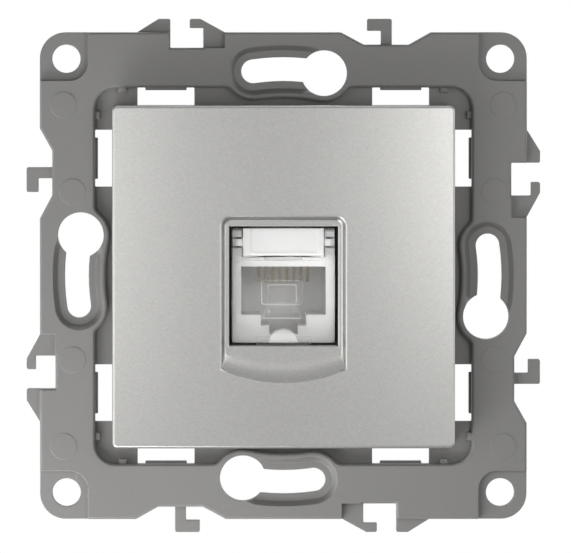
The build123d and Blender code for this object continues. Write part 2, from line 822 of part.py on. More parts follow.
# Caps: a roof with a rib for each slot, an outer skirt notched for the wires, and end walls
cap_inner = tower_inner
cap_outer = tower_outer + moving_gap + cap_wall
cap_half_height = tower_half_height + moving_gap + cap_wall
cap_roof_front = tower_rear - moving_gap
for name, sign in (("left", -1), ("right", 1)):
    with BuildPart() as idc_cap:
        with BuildSketch(level(cap_roof_front - cap_roof)):
            with Locations((sign * (cap_inner + cap_outer) / 2, jack_centre)):
                Rectangle(cap_outer - cap_inner, 2 * cap_half_height)
        extrude(amount=cap_skirt_front - cap_roof_front + cap_roof)
        with BuildSketch(level(cap_roof_front)):
            with Locations((sign * (cap_inner + cap_outer) / 2 - sign * cap_wall, jack_centre)):
                Rectangle(cap_outer - cap_inner, 2 * (tower_half_height + moving_gap))
        extrude(amount=cap_skirt_front - cap_roof_front, mode=Mode.SUBTRACT)
        with BuildSketch(level(cap_notch_rear)):
            with Locations([(sign * (cap_outer - cap_wall / 2), z) for z in terminal_heights]):
                Rectangle(2 * cap_wall, wire_slot_width)
        extrude(amount=cap_skirt_front - cap_notch_rear, mode=Mode.SUBTRACT)
        with BuildSketch(level(cap_roof_front)):
            with Locations([(sign * tower_x, z) for z in terminal_heights]):
                Rectangle(tower_width, cap_rib_width)
        extrude(amount=blade_rear - moving_gap - cap_roof_front)
        with BuildSketch(level(cap_roof_front - cap_roof)):
            with Locations((sign * (cap_inner + cap_outer) / 2, jack_centre)):
                with GridLocations(1, cap_grip_pitch, 1, cap_grip_count):
                    Rectangle(cap_outer - cap_inner - cap_wall, cap_grip_width)
        extrude(amount=-cap_grip_height)
    idc_cap.part.label = f"idc_cap_{name}"
    export_step(idc_cap.part, f"parts/idc_cap_{name}.step")
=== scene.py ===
"""Looks of an ethernet wall socket: its grey support frame, silver centre plate, white jack,
clear dust flap and the terminals behind them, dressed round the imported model.

Lengths are millimetres, measured as on the model: x to the right, z up and h out of the wall
towards the room. Only the floor and the lamps are given in metres, as the scene is, which has
+Y into the wall. A pattern's scale counts its features to the metre.
"""

import json
import logging
import math
from dataclasses import dataclass, field
from enum import Enum
from typing import Any

import bmesh
import bpy
from mathutils import Matrix, Vector

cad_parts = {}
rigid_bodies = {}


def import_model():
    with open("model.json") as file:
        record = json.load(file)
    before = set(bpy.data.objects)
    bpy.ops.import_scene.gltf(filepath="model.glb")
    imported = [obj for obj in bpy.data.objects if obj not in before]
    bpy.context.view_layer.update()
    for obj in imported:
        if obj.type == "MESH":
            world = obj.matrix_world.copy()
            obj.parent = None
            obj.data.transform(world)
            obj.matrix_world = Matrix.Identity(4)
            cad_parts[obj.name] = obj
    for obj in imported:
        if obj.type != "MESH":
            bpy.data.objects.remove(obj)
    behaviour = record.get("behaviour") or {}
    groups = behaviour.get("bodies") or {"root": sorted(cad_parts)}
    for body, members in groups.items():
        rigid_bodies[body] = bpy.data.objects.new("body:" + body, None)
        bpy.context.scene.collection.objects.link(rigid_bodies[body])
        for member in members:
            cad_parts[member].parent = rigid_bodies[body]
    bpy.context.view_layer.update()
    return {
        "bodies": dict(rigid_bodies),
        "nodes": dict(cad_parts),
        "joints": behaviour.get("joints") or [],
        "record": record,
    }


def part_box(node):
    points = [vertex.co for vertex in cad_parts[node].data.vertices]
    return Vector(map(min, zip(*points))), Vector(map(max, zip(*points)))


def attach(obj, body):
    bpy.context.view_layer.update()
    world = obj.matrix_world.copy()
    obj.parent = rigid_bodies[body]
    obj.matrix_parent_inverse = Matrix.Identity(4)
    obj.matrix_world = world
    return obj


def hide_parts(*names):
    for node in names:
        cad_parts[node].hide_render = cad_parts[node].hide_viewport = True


log = logging.getLogger("wall_socket")

Pair = tuple[float, float]
Colour = tuple[float, float, float]
Sockets = bpy.types.bpy_prop_collection

MM = 0.001
MERGE_RANGE = 0.002 * MM
FLAT_ANGLE = math.radians(0.4)
NORMAL_WEIGHT = 60
WHITE: Colour = (1.0, 1.0, 1.0)

MIX_FACTOR = 0
MIX_NUMBERS = (2, 3)
MIX_COLOURS = (6, 7)
MIX_NUMBER_RESULT = 0
MIX_COLOUR_RESULT = 2


class Body(Enum):
    """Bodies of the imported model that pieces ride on."""

    SOCKET = "socket"
    FLAP = "flap"
    LEFT_CAP = "left_cap"
    RIGHT_CAP = "right_cap"


class Slot(Enum):
    """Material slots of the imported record."""

    FRAME = "frame_plastic"
    PLATE = "plate_paint"
    HOLDER = "holder_plastic"
    JACK = "jack_plastic"
    FLAP = "flap_clear"
    CARRIER = "carrier_plastic"
    GOLD = "contact_gold"
    BOARD = "board_laminate"
    TERMINAL_BODY = "terminal_plastic"
    TERMINAL_METAL = "terminal_metal"
    CAP = "cap_plastic"


def at(x: float, h: float, z: float) -> Vector:
    """Give a point of the model in metres, from its millimetres and its height off the wall.

    Args:
        x: Millimetres to the right of the middle.
        h: Millimetres off the wall, towards the room.
        z: Millimetres above the middle.

    Returns:
        The point in the scene's metres.
    """
    return Vector((x * MM, -h * MM, z * MM))


def front_of(node: str) -> float:
    """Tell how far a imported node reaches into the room.

    Args:
        node: The node's name.

    Returns:
        Millimetres from the wall to its foremost face.
    """
    lowest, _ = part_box(node)
    return -lowest[1] / MM


def turned(degrees: float, axis: str) -> Matrix:
    """Give a turn about one axis through the middle.

    Args:
        degrees: The angle.
        axis: The axis, X, Y or Z.

    Returns:
        The turn's matrix.
    """
    return Matrix.Rotation(math.radians(degrees), 4, axis)


class Graph:
    """Adds nodes to one node tree and joins their sockets."""

    def __init__(self, tree: bpy.types.NodeTree) -> None:
        """Keep the node tree that the nodes are added to."""
        self.tree = tree

    def feed(self, node: bpy.types.Node, inputs: dict[Any, Any]) -> None:
        """Give inputs of a node their values or sockets.

        Args:
            node: The node.
            inputs: Values or sockets, by the input's name or place.
        """
        for key, value in inputs.items():
            if isinstance(value, bpy.types.NodeSocket):
                self.tree.links.new(value, node.inputs[key])
            else:
                node.inputs[key].default_value = value

    def add(self, kind: str, inputs: dict[Any, Any] | None = None, **settings: Any) -> bpy.types.Node:
        """Add one node.

        Args:
            kind: Type name of the node.
            inputs: Values or sockets for the node's inputs, by name or place.
            settings: Properties of the node, such as its operation.

        Returns:
            The new node.
        """
        node = self.tree.nodes.new(kind)
        for name, value in settings.items():
            setattr(node, name, value)
        self.feed(node, inputs or {})
        return node

    def place(self) -> bpy.types.NodeSocket:
        """Read the place on the model, in metres."""
        return self.add("ShaderNodeTexCoord").outputs["Object"]

    def place_parts(self) -> Sockets:
        """Read the place on the model as sockets X, Y and Z."""
        return self.add("ShaderNodeSeparateXYZ", {0: self.place()}).outputs

    def math(self, operation: str, first: Any, second: Any = 0.0) -> bpy.types.NodeSocket:
        """Work out one operation on one or two values or sockets."""
        return self.add("ShaderNodeMath", {0: first, 1: second}, operation=operation).outputs[0]

    def length(self, across: Any, up: Any) -> bpy.types.NodeSocket:
        """Work out the distance that two sides at a right angle span."""
        squares = self.math("ADD", self.math("POWER", across, 2.0), self.math("POWER", up, 2.0))
        return self.math("SQRT", squares)

    def spread(self, value: Any, low: float, high: float) -> bpy.types.NodeSocket:
        """Spread a value from 0 to 1 over the range from low to high."""
        node = self.add("ShaderNodeMapRange", {"Value": value, "To Min": low, "To Max": high})
        return node.outputs["Result"]

    def around(self, value: Any, middle: float, reach: float) -> bpy.types.NodeSocket:
        """Spread a value from 0 to 1 evenly round a middle value."""
        return self.spread(value, middle - reach, middle + reach)

    def blended(self, factor: Any, first: Any, second: Any) -> bpy.types.NodeSocket:
        """Mix two numbers.

        Args:
            factor: How much of the second number shows.
            first: The first number or socket.
            second: The second number or socket.

        Returns:
            The mixed number's socket.
        """
        inputs = {MIX_FACTOR: factor, MIX_NUMBERS[0]: first, MIX_NUMBERS[1]: second}
        return self.add("ShaderNodeMix", inputs).outputs[MIX_NUMBER_RESULT]

    def tinted(self, factor: Any, dark: Colour, light: Colour) -> bpy.types.NodeSocket:
        """Mix two colours.

        Args:
            factor: How much of the second colour shows.
            dark: The first colour.
            light: The second colour.

        Returns:
            The mixed colour's socket.
        """
        inputs = {MIX_FACTOR: factor, MIX_COLOURS[0]: (*dark, 1.0), MIX_COLOURS[1]: (*light, 1.0)}
        return self.add("ShaderNodeMix", inputs, data_type="RGBA").outputs[MIX_COLOUR_RESULT]

    def bumped(self, height: Any, strength: float, depth: float) -> bpy.types.NodeSocket:
        """Turn a height into a normal.

        Args:
            height: The height's socket, from 0 to 1.
            strength: How strongly it shows.
            depth: Millimetres from its lowest to its highest.

        Returns:
            The normal's socket.
        """
        inputs = {"Strength": strength, "Distance": depth * MM, "Height": height}
        return self.add("ShaderNodeBump", inputs).outputs["Normal"]


def blank_material(name: str) -> tuple[bpy.types.Material, Graph, bpy.types.Node]:
    """Make a material that holds only a Principled shader and its output.

    Args:
        name: The material's name.

    Returns:
        The material, a Graph on its nodes, and the shader.
    """
    material = bpy.data.materials.new(name)
    material.use_nodes = True
    tree = material.node_tree
    tree.nodes.clear()
    graph = Graph(tree)
    shader = graph.add("ShaderNodeBsdfPrincipled")
    graph.add("ShaderNodeOutputMaterial", {"Surface": shader.outputs["BSDF"]})
    return material, graph, shader


@dataclass(frozen=True)
class Grain:
    """Unevenness that the finishes share: fine grain with broad, soft clouds in it."""

    name: str = "surface_grain"
    fine_scale: float = 3000.0
    fine_detail: float = 3.0
    fine_roughness: float = 0.6
    cloud_scale: float = 60.0
    cloud_detail: float = 2.0
    cloud_roughness: float = 0.5
    cloud_share: float = 0.4

    def group(self) -> bpy.types.NodeTree:
        """Build the node group once, with inputs for both scales and the clouds' share.

        Returns:
            The node group, with outputs Tone and Height, both about 0.5 on average.
        """
        if self.name in bpy.data.node_groups:
            return bpy.data.node_groups[self.name]
        tree = bpy.data.node_groups.new(self.name, "ShaderNodeTree")
        asked = {
            "Grain Scale": self.fine_scale,
            "Cloud Scale": self.cloud_scale,
            "Cloud Share": self.cloud_share,
        }
        sockets = tree.interface
        for label, value in asked.items():
            made = sockets.new_socket(name=label, in_out="INPUT", socket_type="NodeSocketFloat")
            made.default_value = value
        for label in ("Tone", "Height"):
            sockets.new_socket(name=label, in_out="OUTPUT", socket_type="NodeSocketFloat")
        graph = Graph(tree)
        given = graph.add("NodeGroupInput").outputs
        place = graph.place()
        fine = graph.add(
            "ShaderNodeTexNoise",
            {
                "Vector": place,
                "Scale": given["Grain Scale"],
                "Detail": self.fine_detail,
                "Roughness": self.fine_roughness,
            },
        ).outputs["Fac"]
        cloud = graph.add(
            "ShaderNodeTexNoise",
            {
                "Vector": place,
                "Scale": given["Cloud Scale"],
                "Detail": self.cloud_detail,
                "Roughness": self.cloud_roughness,
            },
        ).outputs["Fac"]
        tone = graph.blended(given["Cloud Share"], fine, cloud)
        graph.add("NodeGroupOutput", {"Tone": tone, "Height": fine})
        return tree

    def on(self, graph: Graph, fine: float, cloud: float, share: float | None = None) -> Sockets:
        """Place the group in a material.

        Args:
            graph: The material's graph.
            fine: Scale of the fine grain.
            cloud: Scale of the clouds.
            share: How much of the tone comes from the clouds, if not as usual.

        Returns:
            The sockets Tone and Height.
        """
        inputs = {
            "Grain Scale": fine,
            "Cloud Scale": cloud,
            "Cloud Share": self.cloud_share if share is None else share,
        }
        return graph.add("ShaderNodeGroup", inputs, node_tree=self.group()).outputs


GRAIN = Grain()


@dataclass(frozen=True)
class Moulding:
    """Finish of a plain moulded plastic."""

    slot: Slot
    dark: Colour
    light: Colour
    roughness: float
    rough_spread: float = 0.08
    grain: float = 2600.0
    cloud: float = 45.0
    bump: float = 0.25
    bump_depth: float = 0.006
    glow_through: float = 0.0
    glow_radius: float = 1.2
    glow_reach: Colour = (1.0, 0.95, 0.9)

    def build(self) -> bpy.types.Material:
        """Build the material.

        Returns:
            The new material.
        """
        material, graph, shader = blank_material(self.slot.value + "_finish")
        grain = GRAIN.on(graph, self.grain, self.cloud)
        graph.feed(
            shader,
            {
                "Base Color": graph.tinted(grain["Tone"], self.dark, self.light),
                "Roughness": graph.around(grain["Tone"], self.roughness, self.rough_spread),
                "Normal": graph.bumped(grain["Height"], self.bump, self.bump_depth),
            },
        )
        if self.glow_through:
            graph.feed(
                shader,
                {
                    "Subsurface Weight": self.glow_through,
                    "Subsurface Radius": self.glow_reach,
                    "Subsurface Scale": self.glow_radius * MM,
                },
            )
        return material


@dataclass(frozen=True)
class FlakePaint:
    """Silver paint: metal flakes of random tilt and brightness under a thin clear layer."""

    slot: Slot = Slot.PLATE
    dark: Colour = (0.26, 0.258, 0.25)
    light: Colour = (0.345, 0.342, 0.332)
    metallic: float = 0.9
    roughness: float = 0.34
    rough_spread: float = 0.04
    flake_scale: float = 6500.0
    flakes_per_grain: float = 3.0
    grain_share: float = 0.6
    cloud: float = 30.0
    cloud_share: float = 0.2
    coat: float = 0.12
    coat_roughness: float = 0.25
    bump: float = 0.15
    bump_depth: float = 0.004

    def build(self) -> bpy.types.Material:
        """Build the material.

        Returns:
            The new material.
        """
        material, graph, shader = blank_material(self.slot.value + "_finish")
        flakes = graph.add("ShaderNodeTexVoronoi", {"Vector": graph.place(), "Scale": self.flake_scale})
        shade = graph.add("ShaderNodeSeparateColor", {"Color": flakes.outputs["Color"]}).outputs
        fine = self.flake_scale / self.flakes_per_grain
        grain = GRAIN.on(graph, fine, self.cloud, self.cloud_share)
        tone = graph.blended(self.grain_share, shade["Red"], grain["Tone"])
        graph.feed(
            shader,
            {
                "Base Color": graph.tinted(tone, self.dark, self.light),
                "Roughness": graph.around(shade["Green"], self.roughness, self.rough_spread),
                "Normal": graph.bumped(grain["Height"], self.bump, self.bump_depth),
                "Metallic": self.metallic,
                "Coat Weight": self.coat,
                "Coat Roughness": self.coat_roughness,
            },
        )
        return material


@dataclass(frozen=True)
class ClearPlastic:
    """Clear moulded plastic: see-through face on, whiter where it is seen along its surface.

    Its thick knuckles and its frosted tab show more. The bore walls above and below each hinge
    pin are painted a near-black shade that stands for the shadow in the clearance round the pin.
    """

    hinge_h: float
    hinge_z: float
    front_h: float
    tab_z: float
    slot: Slot = Slot.FLAP
    colour: Colour = (0.90, 0.90, 0.89)
    roughness: float = 0.12
    rough_spread: float = 0.04
    grain: float = 900.0
    cloud: float = 120.0
    face_alpha: float = 0.055
    edge_alpha: float = 0.65
    blend: float = 0.8
    shadow_share: float = 0.12
    # Painted shade: a near-black colour for the shadow in the clearance round each hinge pin.
    pin_shade_colour: Colour = (0.05, 0.05, 0.05)
    pin_shade_from: float = 0.5
    pin_shade_radius: float = 0.82
    knuckle_drop: float = 2.11
    knuckle_alpha: float = 0.4
    tab_stand: float = 0.02
    tab_radius: float = 2.12
    tab_alpha: float = 0.5

    @classmethod
    def fitted(cls, frame: dict[str, Any]) -> "ClearPlastic":
        """Fit the finish to the flap's hinge, its front and its lower edge.

        Args:
            frame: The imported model.

        Returns:
            The fitted finish.
        """
        hinge = next(joint["pos_m"] for joint in frame["joints"] if joint["name"] == "flap_hinge")
        lowest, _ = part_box("dust_flap")
        return cls(
            hinge_h=-hinge[1] / MM,
            hinge_z=hinge[2] / MM,
            front_h=front_of("jack_body"),
            tab_z=lowest[2] / MM,
        )

    def build(self) -> bpy.types.Material:
        """Build the material.

        Returns:
            The new material.
        """
        material, graph, shader = blank_material(self.slot.value + "_finish")
        grain = GRAIN.on(graph, self.grain, self.cloud)
        pin_shade = self.pin_shade_mask(graph)
        graph.feed(
            shader,
            {
                # Painted shade: the bore walls at the pins take the near-black colour and show solid.
                "Base Color": graph.tinted(pin_shade, self.colour, self.pin_shade_colour),
                "Roughness": graph.around(grain["Tone"], self.roughness, self.rough_spread),
                "Alpha": self.veil(graph, pin_shade),
            },
        )
        return material

    def veil(self, graph: Graph, pin_shade: bpy.types.NodeSocket) -> bpy.types.NodeSocket:
        """Say how much of the plastic shows, and how faint a shadow it throws.

        Args:
            graph: The material's graph.
            pin_shade: The mask of the painted shade on the hinge bores, which always shows.

        Returns:
            A socket from 0, clear, to 1, solid.
        """
        facing = graph.add("ShaderNodeLayerWeight", {"Blend": self.blend}).outputs["Facing"]
        clear = graph.spread(facing, self.face_alpha, self.edge_alpha)
        tab = graph.math("MULTIPLY", self.tab_mask(graph), self.tab_alpha)
        knuckle = graph.math("MULTIPLY", self.knuckle_mask(graph), self.knuckle_alpha)
        frosted = graph.math("MAXIMUM", pin_shade, graph.math("ADD", tab, knuckle))
        shadow = graph.add("ShaderNodeLightPath").outputs["Is Shadow Ray"]
        passed = graph.spread(shadow, 1.0, self.shadow_share)
        return graph.math("MULTIPLY", graph.math("MAXIMUM", clear, frosted), passed)

    def pin_shade_mask(self, graph: Graph) -> bpy.types.NodeSocket:
        """Mark the top and bottom of the hinge bores, which are painted a dark shade that stands for
        the shadow in the clearance round the pin.

        Args:
            graph: The material's graph.

        Returns:
            A socket that is 1 in those places and 0 elsewhere.
        """
        place = graph.place_parts()
        deep = graph.math("ADD", place["Y"], self.hinge_h * MM)
        high = graph.math("SUBTRACT", place["Z"], self.hinge_z * MM)
        inside = graph.math("LESS_THAN", graph.length(deep, high), self.pin_shade_radius * MM)
        outer = graph.math("GREATER_THAN", graph.math("ABSOLUTE", high), self.pin_shade_from * MM)
        return graph.math("MULTIPLY", inside, outer)

    def knuckle_mask(self, graph: Graph) -> bpy.types.NodeSocket:
        """Mark the thick hinge knuckles, which scatter more light, but not in front of the painted
        shade at the pin.

        Args:
            graph: The material's graph.

        Returns:
            A socket that is 1 on the knuckles and 0 elsewhere.
        """
        place = graph.place_parts()
        foot = self.hinge_z - self.knuckle_drop
        knuckle = graph.math("GREATER_THAN", place["Z"], foot * MM)
        high = graph.math("ABSOLUTE", graph.math("SUBTRACT", place["Z"], self.hinge_z * MM))
        beyond = graph.math("GREATER_THAN", high, self.pin_shade_radius * MM)
        before = graph.math("LESS_THAN", high, self.pin_shade_from * MM)
        return graph.math("MULTIPLY", knuckle, graph.math("ADD", beyond, before))

    def tab_mask(self, graph: Graph) -> bpy.types.NodeSocket:
        """Mark the frosted front of the thumb tab.

        Args:
            graph: The material's graph.

        Returns:
            A socket that is 1 on the tab and 0 elsewhere.
        """
        place = graph.place_parts()
        high = graph.math("SUBTRACT", place["Z"], self.tab_z * MM)
        inside = graph.math("LESS_THAN", graph.length(place["X"], high), self.tab_radius * MM)
        proud = graph.math("LESS_THAN", place["Y"], -(self.front_h + self.tab_stand) * MM)
        return graph.math("MULTIPLY", inside, proud)


@dataclass(frozen=True)
class PlatedMetal:
    """Thin plating on a stamped contact."""

    slot: Slot
    dark: Colour
    light: Colour
    metallic: float = 1.0
    roughness: float = 0.26
    rough_spread: float = 0.1
    grain: float = 1800.0
    cloud: float = 400.0

    def build(self) -> bpy.types.Material:
        """Build the material.

        Returns:
            The new material.
        """
        material, graph, shader = blank_material(self.slot.value + "_finish")
        grain = GRAIN.on(graph, self.grain, self.cloud)
        graph.feed(
            shader,
            {
                "Base Color": graph.tinted(grain["Tone"], self.dark, self.light),
                "Roughness": graph.around(grain["Tone"], self.roughness, self.rough_spread),
                "Metallic": self.metallic,
            },
        )
        return material


@dataclass(frozen=True)
class SolderMask:
    """Green lacquer over woven laminate."""

    slot: Slot = Slot.BOARD
    dark: Colour = (0.010, 0.070, 0.028)
    light: Colour = (0.025, 0.150, 0.060)
    weave: float = 1400.0
    smoothest: float = 0.3
    roughest: float = 0.4

    def build(self) -> bpy.types.Material:
        """Build the material.

        Returns:
            The new material.
        """
        material, graph, shader = blank_material(self.slot.value + "_finish")
        weave = graph.math("MULTIPLY", self.threads(graph, "X"), self.threads(graph, "Z"))
        graph.feed(
            shader,
            {
                "Base Color": graph.tinted(weave, self.dark, self.light),
                "Roughness": graph.spread(weave, self.smoothest, self.roughest),
            },
        )
        return material

    def threads(self, graph: Graph, axis: str) -> bpy.types.NodeSocket:
        """Stripe the laminate with the threads that follow each other along one axis."""
        inputs = {"Vector": graph.place(), "Scale": self.weave}
        return graph.add("ShaderNodeTexWave", inputs, bands_direction=axis).outputs["Fac"]


FINISHES: tuple[Moulding | FlakePaint | PlatedMetal | SolderMask, ...] = (
    Moulding(
        Slot.FRAME,
        dark=(0.142, 0.140, 0.136),
        light=(0.178, 0.176, 0.170),
        roughness=0.48,
        bump=0.35,
    ),
    FlakePaint(),
    Moulding(Slot.HOLDER, dark=(0.13, 0.129, 0.125), light=(0.17, 0.169, 0.164), roughness=0.5),
    Moulding(
        Slot.JACK,
        dark=(0.77, 0.77, 0.76),
        light=(0.81, 0.81, 0.80),
        roughness=0.32,
        bump=0.1,
        glow_through=0.8,
        glow_radius=2.5,
    ),
    Moulding(Slot.CARRIER, dark=(0.022, 0.022, 0.022), light=(0.035, 0.035, 0.035), roughness=0.45),
    PlatedMetal(Slot.GOLD, dark=(0.48, 0.34, 0.15), light=(0.70, 0.52, 0.26)),
    SolderMask(),
    Moulding(
        Slot.TERMINAL_BODY,
        dark=(0.66, 0.66, 0.64),
        light=(0.74, 0.74, 0.72),
        roughness=0.38,
        bump=0.15,
    ),
    PlatedMetal(Slot.TERMINAL_METAL, dark=(0.50, 0.49, 0.46), light=(0.70, 0.69, 0.66)),
    Moulding(
        Slot.CAP,
        dark=(0.66, 0.66, 0.64),
        light=(0.74, 0.74, 0.72),
        roughness=0.35,
        bump=0.15,
    ),
)


def finished_object(name: str, mesh: bpy.types.Mesh, smooth_angle: float) -> bpy.types.Object:
    """Put a mesh in the scene with smooth faces between its sharp edges.

    Args:
        name: The piece's name.
        mesh: The mesh, in place.
        smooth_angle: Degrees past which an edge stays sharp.

    Returns:
        The new object.
    """
    mesh.shade_smooth()
    mesh.set_sharp_from_angle(angle=math.radians(smooth_angle))
    piece = bpy.data.objects.new(name, mesh)
    bpy.context.scene.collection.objects.link(piece)
    weighted = piece.modifiers.new("weighted_normals", "WEIGHTED_NORMAL")
    weighted.keep_sharp = True
    weighted.weight = NORMAL_WEIGHT
    return piece


def to_mesh(bm: bmesh.types.BMesh, name: str) -> bpy.types.Mesh:
    """Write a bmesh into a new mesh and free it.

    Args:
        bm: The bmesh.
        name: The mesh's name.

    Returns:
        The new mesh.
    """
    mesh = bpy.data.meshes.new(name)
    bm.to_mesh(mesh)
    bm.free()
    return mesh


def corners_past(bm: bmesh.types.BMesh, degrees: float) -> list[bmesh.types.BMEdge]:
    """List the edges at which the surface turns by more than a limit.

    Args:
        bm: The bmesh.
        degrees: The limit.

    Returns:
        Those edges.
    """
    limit = math.radians(degrees)
    return [edge for edge in bm.edges if edge.is_manifold and edge.calc_face_angle() > limit]


def round_edges(
    bm: bmesh.types.BMesh,
    edges: list[bmesh.types.BMEdge],
    width: float,
    segments: int,
) -> None:
    """Round edges of a bmesh.

    Args:
        bm: The bmesh.
        edges: The edges to round.
        width: The rounding's width in millimetres.
        segments: Faces across each rounding.
    """
    bmesh.ops.bevel(
        bm,
        geom=edges,
        offset=width * MM,
        offset_type="OFFSET",
        affect="EDGES",
        segments=segments,
        profile=0.5,
        clamp_overlap=False,
        material=-1,
    )


def keep_inside(bm: bmesh.types.BMesh, lowest: Vector, highest: Vector) -> None:
    """Pull points that a rounding pushed out of a box back to its side.

    Args:
        bm: The bmesh.
        lowest: The box's lowest corner.
        highest: The box's highest corner.
    """
    for vert in bm.verts:
        for axis in range(3):
            vert.co[axis] = min(max(vert.co[axis], lowest[axis]), highest[axis])


def add_stud(
    bm: bmesh.types.BMesh,
    middle: Matrix,
    foot: float,
    top: float,
    depth: float,
    sides: int,
) -> None:
    """Add a low round stud that points into the room.

    Args:
        bm: The bmesh to add to.
        middle: Place and turn of its middle.
        foot: Radius at its foot, in millimetres.
        top: Radius at its top, in millimetres.
        depth: Millimetres from foot to top.
        sides: Faces round it.
    """
    bmesh.ops.create_cone(
        bm,
        cap_ends=True,
        cap_tris=False,
        segments=sides,
        radius1=foot * MM,
        radius2=top * MM,
        depth=depth * MM,
        matrix=middle @ turned(90, "X"),
    )


@dataclass(frozen=True)
class Zone:
    """A box of the model with a wider rounding for the edges inside it."""

    x: Pair
    h: Pair
    z: Pair
    edge: float
    segments: int

    def holds(self, edge: bmesh.types.BMEdge) -> bool:
        """Tell whether both ends of an edge lie in the box.

        Args:
            edge: The edge.

        Returns:
            True where they do.
        """
        return all(
            self.x[0] < vert.co.x / MM < self.x[1]
            and self.h[0] < -vert.co.y / MM < self.h[1]
            and self.z[0] < vert.co.z / MM < self.z[1]
            for vert in edge.verts
        )


@dataclass
class SubAssembly:
    """Pieces of the socket that are dressed together."""

    frame: dict[str, Any]
    finishes: dict[Slot, bpy.types.Material]
    made: list[bpy.types.Object] = field(default_factory=list)
    corner_angle: float = 28.0
    edge_segments: int = 2

    def place(self, piece: bpy.types.Object, body: Body, slot: Slot) -> None:
        """Let a piece ride on its body and take its finish.

        Args:
            piece: The finished piece, in place.
            body: The body that carries it.
            slot: The record's material slot.
        """
        piece.data.materials.clear()
        piece.data.materials.append(self.finishes[slot])
        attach(piece, body.value)
        self.made.append(piece)

    def merged(self, node: str) -> bmesh.types.BMesh:
        """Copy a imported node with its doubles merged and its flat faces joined.

        Args:
            node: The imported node's name.

        Returns:
            The copy as a bmesh.
        """
        bm = bmesh.new()
        bm.from_mesh(self.frame["nodes"][node].data)
        bmesh.ops.remove_doubles(bm, verts=bm.verts, dist=MERGE_RANGE)
        bmesh.ops.dissolve_limit(bm, angle_limit=FLAT_ANGLE, verts=bm.verts, edges=bm.edges)
        return bm

    def softened(
        self,
        node: str,
        body: Body,
        slot: Slot,
        edge: float,
        wide: Zone | None = None,
    ) -> bpy.types.Object:
        """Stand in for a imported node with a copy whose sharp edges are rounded.

        Args:
            node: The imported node's name.
            body: The body that carries it.
            slot: The record's material slot.
            edge: The rounding's width in millimetres.
            wide: A zone whose edges get a rounding of its own first.

        Returns:
            The new piece.
        """
        bm = self.merged(node)
        if wide:
            inside = [corner for corner in corners_past(bm, self.corner_angle) if wide.holds(corner)]
            round_edges(bm, inside, wide.edge, wide.segments)
        round_edges(bm, corners_past(bm, self.corner_angle), edge, self.edge_segments)
        keep_inside(bm, *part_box(node))
        bmesh.ops.remove_doubles(bm, verts=bm.verts, dist=MERGE_RANGE)
        name = node + "_shell"
        piece = finished_object(name, to_mesh(bm, name), self.corner_angle)
        self.place(piece, body, slot)
        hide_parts(node)
        return piece

    def report(self) -> None:
        """Log each piece with its count of faces."""
        for piece in self.made:
            log.info("%s: %s, %d faces", type(self).__name__, piece.name, len(piece.data.polygons))


@dataclass
class FrameWork(SubAssembly):
    """The grey support frame with the marks its mould left on it."""

    edge: float = 0.11
    mark_places: tuple[Pair, ...] = ((31.9, 24.8), (31.9, -24.8), (30.6, 12.2), (30.6, -12.2))
    mark_radius: float = 2.1
    mark_slope: float = 0.16
    mark_stand: float = 0.14
    mark_sides: int = 40
    mark_smooth_angle: float = 60.0

    def build(self) -> None:
        """Build the frame's shell and the marks on its right and left flange."""
        self.softened("support_frame", Body.SOCKET, Slot.FRAME, self.edge)
        bm = bmesh.new()
        for turn in (0, 180):
            for x, z in self.mark_places:
                self.add_mark(bm, x, z, turn)
        bmesh.ops.recalc_face_normals(bm, faces=bm.faces)
        name = "ejector_marks"
        marks = finished_object(name, to_mesh(bm, name), self.mark_smooth_angle)
        self.place(marks, Body.SOCKET, Slot.FRAME)

    def add_mark(self, bm: bmesh.types.BMesh, x: float, z: float, turn: float) -> None:
        """Add one flat round mark, half sunk, that stands a hair proud of the flange.

        Args:
            bm: The bmesh to add to.
            x: Its place to the right of the middle, before the turn.
            z: Its place above the middle, before the turn.
            turn: Degrees about the frame's middle.
        """
        middle = turned(turn, "Y") @ Matrix.Translation(at(x, front_of("support_frame"), z))
        top = self.mark_radius - 2 * self.mark_slope
        add_stud(bm, middle, self.mark_radius, top, 2 * self.mark_stand, self.mark_sides)


@dataclass
class PlateWork(SubAssembly):
    """The silver centre plate."""

    edge: float = 0.06
    bezel: Zone = Zone(x=(-9.4, 9.4), h=(8.3, 9.6), z=(-15.8, 8.95), edge=0.22, segments=4)

    def build(self) -> None:
        """Build the plate's shell, its bezel rounded more than the rest."""
        self.softened("cover_plate", Body.SOCKET, Slot.PLATE, self.edge, self.bezel)


@dataclass
class JackWork(SubAssembly):
    """The white jack with its contacts."""

    edge: float = 0.09
    carrier_edge: float = 0.045
    wire_edge: float = 0.1
    contacts: int = 8

    def build(self) -> None:
        """Build the jack, its carrier and its contact wires."""
        self.softened("jack_body", Body.SOCKET, Slot.JACK, self.edge)
        self.softened("contact_carrier", Body.SOCKET, Slot.CARRIER, self.carrier_edge)
        for number in range(1, self.contacts + 1):
            self.softened(f"contact_wire_{number}", Body.SOCKET, Slot.GOLD, self.wire_edge)


